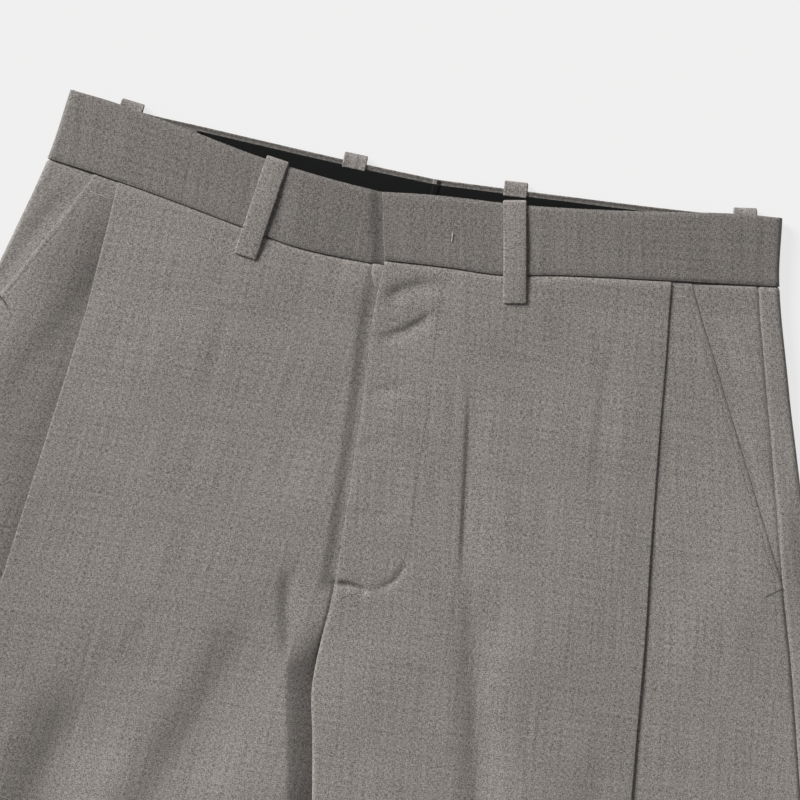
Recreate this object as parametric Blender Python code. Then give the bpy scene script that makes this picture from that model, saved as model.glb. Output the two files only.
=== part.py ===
"""Pleated dress trousers laid flat, front up, with the waist at +Y.

+X is the wearer's left and +Z is up, away from the surface that the cloth lies on.
All sizes are in millimetres until wall() writes them in metres.

The garment is a flat tube that forks into two legs. Each half, left or right, is
worked out from sections across the tube. A place on a section is given by
- out, the distance outward from the centre front line, and
- down, the distance below the line through the waistband's two top corners.
Around the side fold a place is given by turn, the distance along the cloth from the
outermost point of the fold: below zero on top, above zero underneath.
"""

import math
from collections import namedtuple

import bmesh
import bpy

# Driving sizes.
OUTSEAM = 1050.0          # waist to hem along the side
BAND_HEIGHT = 39.0        # finished waistband
CLOTH = 1.1               # wall of a panel
BAND_CLOTH = 2.2          # wall of the interfaced waistband
TRIM_CLOTH = 1.0          # wall of the facings and the fly shield
LOOP_CLOTH = 1.5          # wall of a belt loop, sewn double
GAP = 0.3                 # between neighbouring pieces
BAND_SEAM_GAP = 0.6       # between the band and the panels, whose edges both curve
LOOP_WIDTH = 12.0
LOOP_LENGTH = 57.0
LOOP_TAB = 3.7            # loop end caught inside the band, past the band's edge
CROTCH = 300.0            # the legs fork here
CROTCH_SEAM_START = 265.0 # the inner edges start to turn towards each other
FACING_END = 190.0        # the pocket facing ends where the mouth narrows to nothing
POCKET_END = 205.0        # the pocket mouth meets the side seam here
SEAM_LEAD = 0.4           # straight cloth at a leg's inner seam
INNER_STEPS = (-SEAM_LEAD, 0, 1.4, 2.7, 4.1)   # along the cloth from the inner seam
SEAM_LEVEL = 40.0         # nominal level of the seam under the waistband
SEAM_REACH = 90.0         # the band seam's curve fades out this far below it
UNDERLAP = 3.0            # right front under the fly edge
BAND_UNDERLAP = 25.0      # right band under the left band's end
SHIELD_WIDTH = 62.0       # fly shield, outward from the fly
FACING_REACH = 130.0      # waistband facing, outward from the back seam
FACING_DROP = 4.2         # band's own cloth shown above the facing
LOOPS_LIFT = LOOP_CLOTH + GAP   # the band lies on the back loops
HALF_LENGTH = (OUTSEAM + 0.7) / 2

Section = namedtuple("Section", "down fold crease front_in back_in seam_turn")
# fold: the side fold. crease: the pleat's edge, which runs on as the leg's crease.
# front_in, back_in: the panels' inner edges. seam_turn: the side seam, around the fold.
LEFT_SECTIONS = (
    Section(0, 213, 155, -8, 20, -14),
    Section(39, 218, 157, -1, 18, -14),
    Section(97, 234, 163, -2, 15, -15),
    Section(130, 244, 166, 0, 13, -16),
    Section(200, 265, 173, 2, 8, -19),
    Section(245, 279, 178, 2.6, 5, -20),
    Section(300, 294, 183, -0.4, -0.4, -21),
    Section(366, 309, 189, 7.7, 7.7, -20),
    Section(450, 321, 197, 25, 25, -19),
    Section(700, 338, 213, 66, 66, -18),
    Section(1050, 345, 225, 105, 105, -16),
)
RIGHT_SECTIONS = (
    Section(0, 190, 153, 8, -20, 10),
    Section(39, 196, 154, 1, -18, 10),
    Section(97, 212, 158, 2, -15, 10),
    Section(130, 223, 161, 0, -13, 10),
    Section(200, 244, 170, -2, -8, 10),
    Section(245, 258, 176, -2.6, -5, 10),
    Section(300, 273, 183, 1, 1, 10),
    Section(366, 289, 189, -6, -6, 10),
    Section(450, 305, 198, 9, 9, 10),
    Section(700, 330, 213, 60, 60, 10),
    Section(1050, 345, 225, 105, 105, 10),
)

Height = namedtuple("Height", "down fold outer crown pleat_angle pleat_depth")
# Heights of the front's outer face over the back's: at the side fold, just outside
# the pleat and at the middle. The pleat folds under by pleat_angle degrees, and its
# hidden layer is pleat_depth deep.
HEIGHTS = (
    Height(0, 5.6, 6.2, 10.2, 180, 13.0),
    Height(46, 5.6, 6.2, 10.2, 180, 12.0),
    Height(130, 5.6, 6.7, 10.4, 180, 7.0),
    Height(220, 5.6, 7.0, 10.2, 180, 2.0),
    Height(300, 5.6, 7.2, 9.8, 130, 0.6),
    Height(366, 5.6, 7.2, 9.2, 70, 0.5),
    Height(450, 5.4, 7.4, 8.6, 40, 0.5),
    Height(1050, 5.0, 7.4, 8.2, 35, 0.5),
)

# Levels below the top corners along each edge, outward from the centre front line.
LEFT_EDGES = {
    "front_top": ((-9, 26), (21, 22.7), (72, 19.5), (126, 13), (187, 3.7), (213, 1.5)),
    "front_seam": ((-1, 63), (35, 61), (63, 60), (100, 54), (158, 46.7), (218, 39.3)),
    "back_top": ((20, 13.3), (87, 10.3), (168, 5.9), (213, 1.5)),
}
RIGHT_EDGES = {
    "front_top": ((-25, 27), (32, 24.4), (77, 19), (124, 10), (163, 2.8), (190, -0.5)),
    "front_seam": ((2, 66), (49, 64.5), (82, 58.6), (131, 49.3), (169, 43), (196, 39.3)),
    "back_top": ((-20, 13.3), (34, 11.2), (113, 6.9), (147, 5), (190, -0.5)),
}

ROWS = (40, 56, 76, 100, 130, 142, 154, 165, 176, 186, 196, 205, 243, 248, 262, 275, 288,
        302, 325, 366, 450, 620, 830, 1050)

Loop = namedtuple("Loop", "name across tilt on_front")
# across: where the loop crosses the band's edge. tilt: degrees that its lower end
# leans to the wearer's left.
LOOPS = (
    Loop("belt_loop_front_left", 64.6, 10.0, True),
    Loop("belt_loop_front_right", -69.2, -8.7, True),
    Loop("belt_loop_side_left", 192.5, 8.0, False),
    Loop("belt_loop_side_right", -155.0, -7.0, False),
    Loop("belt_loop_back_left", 64.0, 3.0, False),
    Loop("belt_loop_back_right", -27.0, -2.0, False),
)

WOOL = (0.205, 0.188, 0.175, 1.0)
FACING = (0.023, 0.024, 0.023, 1.0)


def smooth(t):
    """Soft step from 0 to 1."""
    t = min(1.0, max(0.0, t))
    return t * t * (3 - 2 * t)


def fall(t):
    """1 at or before 0, fading to 0 at 1."""
    t = min(1.0, max(0.0, t))
    return (1 - t) ** 2


def mix(a, b, t):
    return a + (b - a) * t


def through(points):
    """A smooth function through (place, value) points, held level beyond its ends."""
    places = [p for p, _ in points]
    values = [v for _, v in points]
    last = len(points) - 1
    slopes = []
    for i in range(last + 1):
        before, after = max(i - 1, 0), min(i + 1, last)
        slopes.append((values[after] - values[before]) / (places[after] - places[before]))

    def at(place):
        if place <= places[0]:
            return values[0]
        if place >= places[last]:
            return values[last]
        i = max(j for j in range(last) if places[j] <= place)
        span = places[i + 1] - places[i]
        t = (place - places[i]) / span
        rise = values[i + 1] - values[i]
        bend_a = slopes[i] * span - rise
        bend_b = rise - slopes[i + 1] * span
        return mix(values[i], values[i + 1], t) + t * (1 - t) * (bend_a * (1 - t) + bend_b * t)

    return at


def columns(rows):
    """A dictionary of smooth functions of down, one for each column of a table."""
    names = rows[0]._fields[1:]
    return {n: through([(r.down, getattr(r, n)) for r in rows]) for n in names}


HEIGHT = columns(HEIGHTS)


def lift(down):
    """How far the belt loops underneath hold the back off the surface."""
    return LOOPS_LIFT * (1 - smooth((down - 72) / 40))


class Half:
    """One side of the garment: its edges and its sections across the tube."""

    def __init__(self, side, sections, edges):
        self.side = side
        self.at = columns(sections)
        self.edge = {name: through(points) for name, points in edges.items()}
        self.front_seam = self.edge["front_seam"]
        end_turn = self.at["seam_turn"](POCKET_END)
        mouth_top = 168.0 - self.at["fold"](SEAM_LEVEL) - 1.6
        self.mouth = through(((43.0, mouth_top), (POCKET_END, end_turn)))

    def back_seam(self, out):
        level = self.edge["back_top"](out) + BAND_HEIGHT
        return mix(level, self.front_seam(out), smooth((out - 140) / 50))

    def level(self, out, nominal, underneath=False):
        """Real level of a nominal row, which follows the band's seam near the waist."""
        seam = self.back_seam(out) if underneath else self.front_seam(out)
        near = 1 - smooth((nominal - SEAM_LEVEL) / SEAM_REACH)
        return nominal + (seam + BAND_SEAM_GAP / 2 - SEAM_LEVEL) * near

    def fold_radius(self, down):
        return HEIGHT["fold"](down) / 2

    def inner_thickness(self, down):
        """Thickness of a leg at its inner fold."""
        return HEIGHT["fold"](down) + 0.4

    def overlapped(self, out, down):
        """1 where this half lies under the other at the fly, 0 elsewhere."""
        if self.side > 0:
            return 0.0
        beside = 1 - smooth((out - self.at["front_in"](down) - 2) / 12)
        return beside * (1 - smooth((down - 250) / 12))

    def front_edge(self, down):
        """Inner edge of the front panel: fly line, crotch seam or inseam."""
        edge = self.at["front_in"](down) + GAP / 2
        if self.side > 0:
            return edge
        return edge - (UNDERLAP + GAP / 2) * (1 - smooth((down - 243) / 5))

    def crotch_turn(self, down):
        """Angle that the inner edges turn towards each other: none to a quarter."""
        return math.pi / 2 * smooth((down - CROTCH_SEAM_START) / (CROTCH - CROTCH_SEAM_START))

    def outer_height(self, out, down):
        """Front's outer face between the crease and the side fold."""
        inside = self.at["fold"](down) - self.fold_radius(down) - out
        rise = HEIGHT["outer"](down) - HEIGHT["fold"](down)
        return lift(down) + HEIGHT["fold"](down) + rise * (1 - fall(inside / 45))

    def inner_height(self, out, down):
        """Front's outer face between the inner edge and the crease."""
        crease = self.at["crease"](down)
        crown = HEIGHT["crown"](down)
        at_crease = HEIGHT["outer"](down) + pleat_step(down)
        forked = smooth((down - CROTCH_SEAM_START) / (CROTCH - CROTCH_SEAM_START))
        at_inner = mix(crown, self.inner_thickness(down), forked)
        height = crown - (crown - at_crease) * fall((crease - out) / 60)
        height -= (crown - at_inner) * fall((out - self.at["front_in"](down) - 2) / 28)
        return lift(down) + height - (CLOTH + GAP) * self.overlapped(out, down)

    def around(self, turn, down):
        """(out, height) on the outer face, around the side fold by turn."""
        radius = self.fold_radius(down)
        quarter = math.pi / 2 * radius
        fold = self.at["fold"](down)
        if turn <= -quarter:
            out = fold - radius + turn + quarter
            return out, self.outer_height(out, down)
        if turn >= quarter:
            return fold - radius - (turn - quarter), lift(down)
        angle = turn / radius
        return fold - radius * (1 - math.cos(angle)), lift(down) + radius * (1 - math.sin(angle))

    def turn_of(self, out, down):
        """The turn of a place on top."""
        radius = self.fold_radius(down)
        return out - self.at["fold"](down) + radius - math.pi / 2 * radius

    def inner_arc(self, down, underneath):
        """(out, height) outward from the inner edge: a straight lead, then the bend."""
        angle = self.crotch_turn(down)
        radius = self.inner_thickness(down) / 2 - GAP / 2 - SEAM_LEAD
        edge = self.at["back_in"](down) + GAP / 2 if underneath else self.front_edge(down)
        start = edge + SEAM_LEAD * math.cos(angle)
        points = []
        for step in INNER_STEPS:
            bend = min(angle, max(0.0, angle - step / radius))
            flat = max(0.0, step - angle * radius)
            out = start + radius * (math.sin(angle) - math.sin(bend)) + flat
            drop = radius * (1 - math.cos(bend))
            if step < 0:
                out = edge
                drop += SEAM_LEAD * math.sin(angle)
            base = lift(down) if underneath else self.inner_height(out, down)
            points.append((out, base + drop if underneath else base - drop))
        return points


LEFT = Half(1, LEFT_SECTIONS, LEFT_EDGES)
RIGHT = Half(-1, RIGHT_SECTIONS, RIGHT_EDGES)

CONVEX = CLOTH + GAP          # the pleat's outer bend, measured at the outer face
CONCAVE = GAP / 2             # its inner bend


def pleat_profile(down, steps=4):
    """(across, drop) through the pleat, from its top layer to the cloth outside it."""
    angle = math.radians(HEIGHT["pleat_angle"](down))
    length = HEIGHT["pleat_depth"](down)
    points = []
    for i in range(steps):
        bend = angle * i / (steps - 1)
        points.append((CONVEX * math.sin(bend), CONVEX * (1 - math.cos(bend))))
    across, drop = points[-1]
    across += length * math.cos(angle)
    drop += length * math.sin(angle)
    for i in range(steps):
        bend = angle * (1 - i / (steps - 1))
        points.append((
            across + CONCAVE * (math.sin(angle) - math.sin(bend)),
            drop + CONCAVE * (math.cos(bend) - math.cos(angle)),
        ))
    return points


def pleat_step(down):
    return pleat_profile(down)[-1][1]


def wall(name, rings, levels, thickness, colour, side=1):
    """A closed wall: rings of (out, height) on the outer face, at the given levels."""
    mesh = bmesh.new()
    outer, inner = [], []
    for ring, level in zip(rings, levels):
        last = len(ring) - 1
        outer_row, inner_row = [], []
        for i, (out, height) in enumerate(ring):
            a, b = ring[max(i - 1, 0)], ring[min(i + 1, last)]
            ahead = (b[0] - out, b[1] - height)
            behind = (out - a[0], height - a[1])
            along = [0.0, 0.0]
            for step in (ahead, behind):
                size = math.hypot(*step)
                if size > 1e-9:
                    along[0] += step[0] / size
                    along[1] += step[1] / size
            size = math.hypot(*along)
            half_bend = size / 2 if 0 < i < last else 1.0
            reach = thickness / (size * max(half_bend, 0.5))
            sunk = (out + along[1] * reach, height - along[0] * reach)
            place = level[i] if isinstance(level, (list, tuple)) else level
            for row, (x, z) in ((outer_row, (out, height)), (inner_row, sunk)):
                row.append(mesh.verts.new((
                    side * x / 1000, (HALF_LENGTH - place) / 1000, z / 1000)))
        outer.append(outer_row)
        inner.append(inner_row)
    tall, wide = len(outer), len(outer[0])
    for r in range(tall - 1):
        for c in range(wide - 1):
            for grid in (outer, inner):
                mesh.faces.new((grid[r][c], grid[r][c + 1], grid[r + 1][c + 1], grid[r + 1][c]))
    for r in range(tall - 1):
        for c in (0, wide - 1):
            mesh.faces.new((outer[r][c], outer[r + 1][c], inner[r + 1][c], inner[r][c]))
    for c in range(wide - 1):
        for r in (0, tall - 1):
            mesh.faces.new((outer[r][c], outer[r][c + 1], inner[r][c + 1], inner[r][c]))
    bmesh.ops.recalc_face_normals(mesh, faces=mesh.faces)
    data = bpy.data.meshes.new(name)
    mesh.to_mesh(data)
    mesh.free()
    data.shade_smooth()
    data.set_sharp_from_angle(angle=math.radians(50))
    piece = bpy.data.objects.new(name, data)
    bpy.context.scene.collection.objects.link(piece)
    data.materials.append(cloth_material(colour))
    return piece


def cloth_material(colour):
    name = "wool" if colour is WOOL else "facing"
    material = bpy.data.materials.get(name)
    if material is None:
        material = bpy.data.materials.new(name)
        material.use_nodes = True
        shader = material.node_tree.nodes["Principled BSDF"]
        shader.inputs["Base Color"].default_value = colour
        shader.inputs["Roughness"].default_value = 0.85
        shader.inputs["Metallic"].default_value = 0.0
    return material


TOP_SHARES = (0.1, 0.25, 0.42, 0.6, 0.78, 0.92)
TURN_STEP = 0.9           # least distance between columns near the pocket's edges


def seam_turn(half, down):
    return half.at["seam_turn"](down)


def front_turns(half, down):
    """Turns of the front's columns outside the pleat, up to its outer edge."""
    start = half.turn_of(half.at["crease"](down), down)
    seam = seam_turn(half, down)
    if half.side > 0:
        full = [mix(start, seam, share) for share in (0.3, 0.65, 1.0)]
    else:
        quarter = math.pi / 2 * half.fold_radius(down)
        full = [mix(start, -quarter, share) for share in (0.3, 0.65, 1.0)]
        full += [-quarter / 2, 0.0, quarter / 2, quarter, seam]
    edge = half.mouth(down) if down < POCKET_END else seam
    if half.side > 0:
        scale = (edge - start) / (seam - start)
        return [start + (turn - start) * scale - GAP / 2 for turn in full]
    last = len(full) - 1
    return [min(turn, edge - TURN_STEP * (last - i)) - GAP / 2 for i, turn in enumerate(full)]


def front_panel(name, half):
    """Front from the fly to the side seam, cut away along the pocket mouth."""
    rings, levels = [], []
    for row in ROWS:
        ring, level = [], []
        near = half.level(half.at["front_in"](row), row)
        ring += half.inner_arc(near, False)
        level += [near] * len(ring)
        inner_end = ring[-1][0]
        crease_level = half.level(half.at["crease"](row), row)
        crease = half.at["crease"](crease_level)
        for share in TOP_SHARES:
            rough = mix(inner_end, crease - CONVEX, share)
            down = half.level(rough, row)
            ring.append((rough, half.inner_height(rough, down)))
            level.append(down)
        base = half.inner_height(crease - CONVEX, crease_level)
        for across, drop in pleat_profile(crease_level):
            out = crease - CONVEX + across
            ring.append((out, base - drop))
            level.append(half.level(out, row))
        for turn in front_turns(half, row):
            out, _ = half.around(turn, row)
            down = half.level(out, row)
            ring.append(half.around(turn, down))
            level.append(down)
        rings.append(ring)
        levels.append(level)
    return wall(name, rings, levels, CLOTH, WOOL, half.side)


def back_panel(name, half):
    """Back from the side seam, under the garment, to the back seam or the inseam."""
    rings, levels = [], []
    for row in ROWS:
        quarter = math.pi / 2 * half.fold_radius(row)
        seam = seam_turn(half, row) + GAP / 2
        if half.side > 0:
            turns = [seam, mix(seam, -quarter, 0.6)]
            turns += [-quarter, -quarter / 2, 0.0, quarter / 2, quarter]
        else:
            turns = [seam, seam + 6]
        ring, level = [], []
        for turn in turns:
            out, _ = half.around(turn, row)
            down = half.level(out, row, underneath=turn > 0)
            ring.append(half.around(turn, down))
            level.append(down)
        near = half.level(half.at["back_in"](row), row, True)
        inner = half.inner_arc(near, True)[::-1]
        start = ring[-1][0]
        for share in (0.2, 0.4, 0.6, 0.8):
            out = mix(start, inner[0][0], share)
            down = half.level(out, row, True)
            ring.append((out, lift(down)))
            level.append(down)
        ring += inner
        level += [near] * len(inner)
        rings.append(ring)
        levels.append(level)
    return wall(name, rings, levels, CLOTH, WOOL, half.side)


def sunk_ring(ring, depth):
    """The ring moved inward by depth."""
    last = len(ring) - 1
    moved = []
    for i, (out, height) in enumerate(ring):
        a, b = ring[max(i - 1, 0)], ring[min(i + 1, last)]
        size = math.hypot(b[0] - a[0], b[1] - a[1])
        moved.append((out + (b[1] - a[1]) / size * depth, height - (b[0] - a[0]) / size * depth))
    return moved


def pocket_facing(name, half):
    """The cloth seen in the pocket mouth, from under the mouth to the side seam."""
    rings, levels = [], []
    for row in [level for level in ROWS if level < FACING_END]:
        quarter = math.pi / 2 * half.fold_radius(row)
        start = half.mouth(row) - 4
        seam = seam_turn(half, row) - GAP / 2
        if half.side > 0:
            turns = [mix(start, seam, share / 4) for share in range(5)]
        else:
            full = [start, mix(start, -quarter, 0.5), -quarter, -quarter / 2, 0.0,
                    quarter / 2, quarter, seam]
            turns = [max(turn, start + TURN_STEP * i) for i, turn in enumerate(full)]
        ring, level = [], []
        for turn in turns:
            out, _ = half.around(turn, row)
            down = half.level(out, row)
            ring.append(half.around(turn, down))
            level.append(down)
        rings.append(sunk_ring(ring, CLOTH + 1.6 * GAP))
        levels.append(level)
    return wall(name, rings, levels, TRIM_CLOTH, WOOL, half.side)


def fly_shield(name):
    """The strip behind the fly, whose free edge prints through the front."""
    rings, levels = [], []
    for row in (66, 80, 100, 130, 165, 200, 225, 246):
        fly = LEFT.at["front_in"](row)
        width = SHIELD_WIDTH * (1 - 0.2 * smooth((row - 200) / 50))
        outs = [mix(fly - 6, fly + width, share / 4) for share in range(5)]
        depth = 2 * (CLOTH + GAP)
        rings.append([(out, LEFT.inner_height(out, row) - depth) for out in outs])
        levels.append(row)
    return wall(name, rings, levels, TRIM_CLOTH, WOOL)


BAND_FOLD = 6.4       # height of the band's side fold
BAND_CROWN = 11.0     # height of the front band at the middle
BAND_RISE = 105.0     # the front band rises over this width, inward from the fold


def band_height(half, out):
    """Outer face of the front band."""
    inside = half.at["fold"](20) - BAND_FOLD / 2 - out
    height = BAND_FOLD + (BAND_CROWN - BAND_FOLD) * (1 - fall(inside / BAND_RISE))
    under = 0.0
    if half.side < 0:
        under = (BAND_CLOTH + GAP) * (1 - smooth((out - 11) / 18))
    return LOOPS_LIFT + height - under


def waistband(name, half):
    """Half of the waistband: centre front, round the side fold, centre back."""
    rings, levels = [], []
    radius = BAND_FOLD / 2
    for share in (0.0, 0.5, 1.0):
        rough = share * BAND_HEIGHT
        fold = half.at["fold"](rough)
        front_end = mix(-8.7, -1.2, share) if half.side > 0 else -BAND_UNDERLAP
        ring, level = [], []
        if half.side > 0:
            outs = [mix(front_end, fold - radius, i / 10) for i in range(11)]
        else:
            outs = [front_end, 11, 17, 23, 29]
            outs += [mix(29, fold - radius, i / 7) for i in range(1, 8)]
        for out in outs:
            top = half.edge["front_top"](out)
            ring.append((out, band_height(half, out)))
            level.append(mix(top, half.front_seam(out) - BAND_SEAM_GAP / 2, share))
        for i in range(1, 5):
            angle = math.pi * i / 4
            out = fold - radius + radius * math.sin(angle)
            ring.append((out, LOOPS_LIFT + radius * (1 + math.cos(angle))))
            bottom = half.back_seam(fold) - BAND_SEAM_GAP / 2
            level.append(mix(half.edge["back_top"](fold), bottom, share))
        back_end = half.at["back_in"](rough) + GAP / 2
        for i in range(1, 6):
            out = mix(fold - radius, back_end, i / 5)
            ring.append((out, LOOPS_LIFT))
            bottom = half.back_seam(out) - BAND_SEAM_GAP / 2
            level.append(mix(half.edge["back_top"](out), bottom, share))
        rings.append(ring)
        levels.append(level)
    return wall(name, rings, levels, BAND_CLOTH, WOOL, half.side)


def band_facing(name, half):
    """The facing inside the back of the waistband."""
    rings, levels = [], []
    for share in (0.0, 0.5, 1.0):
        start = half.at["back_in"](share * BAND_HEIGHT) + GAP / 2
        ring, level = [], []
        for i in range(7):
            out = mix(half.side * 20 + FACING_REACH, start, i / 6)
            ring.append((out, LOOPS_LIFT + BAND_CLOTH + GAP))
            top = half.edge["back_top"](out) + FACING_DROP
            level.append(mix(top, half.back_seam(out) - 2, share))
        rings.append(ring)
        levels.append(level)
    return wall(name, rings, levels, TRIM_CLOTH, FACING, half.side)


def belt_loop(loop):
    """A loop over the band's top edge: a short tab inside and a long strip outside."""
    half = LEFT if loop.across > 0 else RIGHT
    out = abs(loop.across)
    edge = half.edge["front_top" if loop.on_front else "back_top"](out)
    radius = (BAND_CLOTH + 2 * GAP + 2 * LOOP_CLOTH) / 2
    above = radius + 0.1
    if loop.on_front:
        face = band_height(half, out) + GAP + LOOP_CLOTH
        middle = face - radius
    else:
        face = 0.0
        middle = radius
    turn = [math.pi * i / 6 for i in range(7)]
    over = [(radius - radius * math.sin(a), middle - radius * math.cos(a)) for a in turn]
    tab = above + LOOP_TAB
    if loop.on_front:
        panel = half.inner_height(out, 75) + GAP + LOOP_CLOTH
        path = [(tab, middle - radius)] + over
        path += [(14, face + 0.6), (28, face + 1.0), (41, face + 0.5), (LOOP_LENGTH - 7, panel),
                 (LOOP_LENGTH, panel)]
    else:
        path = [(LOOP_LENGTH, face), (LOOP_LENGTH / 2, face)] + over
        path.append((tab, middle + radius))
    lean = math.radians(loop.tilt)
    mesh = bmesh.new()
    ring = []
    last = len(path) - 1
    outer, inner = path, sunk_ring(path, LOOP_CLOTH)
    for i in range(last + 1):
        stations = []
        for along, height in (outer[i], inner[i]):
            for across in (-LOOP_WIDTH / 2, LOOP_WIDTH / 2):
                step = along - above
                x = loop.across + step * math.sin(lean) + across * math.cos(lean)
                down = edge + step * math.cos(lean) - across * math.sin(lean)
                stations.append(mesh.verts.new((
                    x / 1000, (HALF_LENGTH - down) / 1000, height / 1000)))
        ring.append(stations)
    for a, b in zip(ring, ring[1:]):
        for i, j in ((0, 1), (1, 3), (3, 2), (2, 0)):
            mesh.faces.new((a[i], a[j], b[j], b[i]))
    for end in (ring[0], ring[-1]):
        mesh.faces.new((end[0], end[1], end[3], end[2]))
    bmesh.ops.recalc_face_normals(mesh, faces=mesh.faces)
    data = bpy.data.meshes.new(loop.name)
    mesh.to_mesh(data)
    mesh.free()
    piece = bpy.data.objects.new(loop.name, data)
    bpy.context.scene.collection.objects.link(piece)
    data.materials.append(cloth_material(WOOL))
    return piece


def main():
    for stale in list(bpy.data.objects):
        bpy.data.objects.remove(stale)
    front_panel("front_left", LEFT)
    front_panel("front_right", RIGHT)
    back_panel("back_left", LEFT)
    back_panel("back_right", RIGHT)
    pocket_facing("pocket_facing_left", LEFT)
    pocket_facing("pocket_facing_right", RIGHT)
    fly_shield("fly_shield")
    waistband("waistband_left", LEFT)
    waistband("waistband_right", RIGHT)
    band_facing("band_facing_left", LEFT)
    band_facing("band_facing_right", RIGHT)
    for loop in LOOPS:
        belt_loop(loop)


main()
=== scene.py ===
"""The looks of the pleated dress trousers, laid flat with the front up.

+X is the wearer's left, +Y is towards the waist and +Z is up. Sizes are in millimetres
until shell() and threads() write them in metres. As in the CAD, a place on one half of
the garment is given by out, the distance outward from the centre front line, and down,
the level below the waistband's top corners. Around the side fold it is given by turn,
the distance along the cloth from the fold's outermost point, above zero underneath.
Each piece is a grid of places: rows run down the garment, columns run outward.
"""

import math

import bpy
import numpy as np
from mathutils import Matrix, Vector


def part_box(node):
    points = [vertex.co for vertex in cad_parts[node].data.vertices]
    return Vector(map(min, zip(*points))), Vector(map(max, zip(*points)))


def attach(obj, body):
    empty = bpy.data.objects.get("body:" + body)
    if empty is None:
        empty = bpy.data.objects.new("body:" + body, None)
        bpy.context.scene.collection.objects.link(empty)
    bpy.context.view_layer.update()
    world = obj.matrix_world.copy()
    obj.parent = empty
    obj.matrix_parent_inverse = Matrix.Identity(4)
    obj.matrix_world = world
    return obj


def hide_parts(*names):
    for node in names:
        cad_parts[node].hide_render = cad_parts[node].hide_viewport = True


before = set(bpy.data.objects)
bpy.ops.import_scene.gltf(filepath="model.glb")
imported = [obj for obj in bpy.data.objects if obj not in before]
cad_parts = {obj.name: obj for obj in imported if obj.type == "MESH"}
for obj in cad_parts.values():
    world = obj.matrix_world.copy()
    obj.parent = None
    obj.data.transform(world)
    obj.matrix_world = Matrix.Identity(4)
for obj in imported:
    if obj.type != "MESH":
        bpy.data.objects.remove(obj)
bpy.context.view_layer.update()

MM = 0.001
OUTSEAM = 1050.0
WAIST_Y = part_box("front_left")[0][1] / MM + OUTSEAM     # Y where down is zero
BAND = 39.0               # depth of the waistband

# Thickness of the real cloth, which is finer than the CAD walls, and the gaps.
CLOTH = 0.42
BAND_CLOTH = 1.7
TRIM_CLOTH = 0.5
LOOP_CLOTH = 1.2
GAP = 0.15
SEAM_LAP = 0.5            # how far the panels run up under the waistband
SEAM_TUCK = 2.4           # how far they turn in to get there

# Heights and places taken over from the CAD.
LOOPS_LIFT = 1.8          # the back loops under the waist
BAND_FOLD = 6.4
BAND_CROWN = 11.0
BAND_RISE = 105.0
UNDERLAP = 3.0            # right front under the fly edge
BAND_UNDERLAP = 25.0
CROTCH_SEAM_START = 262.0
CROTCH = 300.0
POCKET_END = 205.0
FACING_REACH = 134.0
FACING_DROP = 3.0
SHIELD_WIDTH = 62.0
LOOP_WIDTH = 12.0
LOOP_LENGTH = 57.0
LOOP_TAB = 3.7
LEFT_DIP = 3.6            # the left front lies lower outside the pleat, down the thigh
RIGHT_SWELL = 2.4         # the right front stands higher there, beside the pocket
LEFT_SLOPE = 45.0         # width over which each front falls to its side fold
RIGHT_SLOPE = 85.0
LOOP_STAND = 2.6          # a back loop stands this far above the band's edge

# down, side fold, pleat and crease, inner edge of the front and of the back, side seam's turn
LEFT_SECTIONS = (
    (0, 213, 155, -8, 20, -14),
    (39, 218, 157, -1, 18, -14),
    (97, 234, 163, -2, 15, -15),
    (130, 244, 166, 0, 13, -16),
    (200, 265, 173, 2, 8, -19),
    (245, 279, 178, 2.6, 5, -20),
    (300, 294, 183, -0.2, -0.2, -21),
    (332, 302, 186, 5.2, 5.2, -21),
    (366, 309, 189, 11.0, 11.0, -20),
    (392, 313, 192, 14.5, 14.5, -20),
    (450, 321, 197, 25, 25, -19),
    (700, 338, 213, 66, 66, -18),
    (1050, 345, 225, 105, 105, -16),
)
RIGHT_SECTIONS = (
    (0, 190, 153, 8, -20, 10),
    (39, 196, 154, 1, -18, 10),
    (97, 212, 158, 2, -15, 10),
    (130, 223, 161, 0, -13, 10),
    (200, 244, 170, -2, -8, 10),
    (245, 258, 176, -2.6, -5, 10),
    (300, 273, 183, -0.9, -0.9, 10),
    (332, 281, 186, -6.6, -6.6, 10),
    (366, 289, 189, -12.2, -12.2, 10),
    (392, 294, 192, -9.0, -9.0, 10),
    (450, 305, 198, 9, 9, 10),
    (700, 330, 213, 60, 60, 10),
    (1050, 345, 225, 105, 105, 10),
)
# down, and the top face's height at the side fold, outside the pleat and at the middle,
# then the pleat's angle in degrees and the depth of its hidden layer
HEIGHTS = (
    (0, 5.6, 6.6, 10.2, 180, 13.0),
    (46, 5.6, 6.6, 10.2, 180, 12.0),
    (130, 5.6, 7.0, 10.4, 180, 7.0),
    (220, 5.6, 7.2, 10.2, 175, 3.0),
    (300, 5.6, 7.4, 9.8, 160, 1.4),
    (366, 5.6, 7.4, 9.4, 140, 1.0),
    (450, 5.4, 7.4, 8.8, 100, 0.7),
    (600, 5.2, 7.4, 8.5, 60, 0.5),
    (1050, 5.0, 7.4, 8.2, 45, 0.5),
)
LEFT_EDGES = {
    "front_top": ((-9, 26), (21, 22.7), (72, 19.5), (126, 13), (187, 3.7), (213, 1.5)),
    "front_seam": ((-1, 63), (35, 61), (63, 60), (100, 54), (158, 46.7), (218, 39.3)),
    "back_top": ((20, 13.3), (87, 10.3), (168, 5.9), (213, 1.5)),
}
RIGHT_EDGES = {
    "front_top": ((-25, 27), (32, 24.4), (77, 19), (124, 10), (163, 2.8), (190, -0.5)),
    "front_seam": ((2, 66), (49, 64.5), (82, 58.6), (131, 49.3), (169, 43), (196, 39.3)),
    "back_top": ((-20, 13.3), (34, 11.2), (113, 6.9), (147, 5), (190, -0.5)),
}
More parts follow.
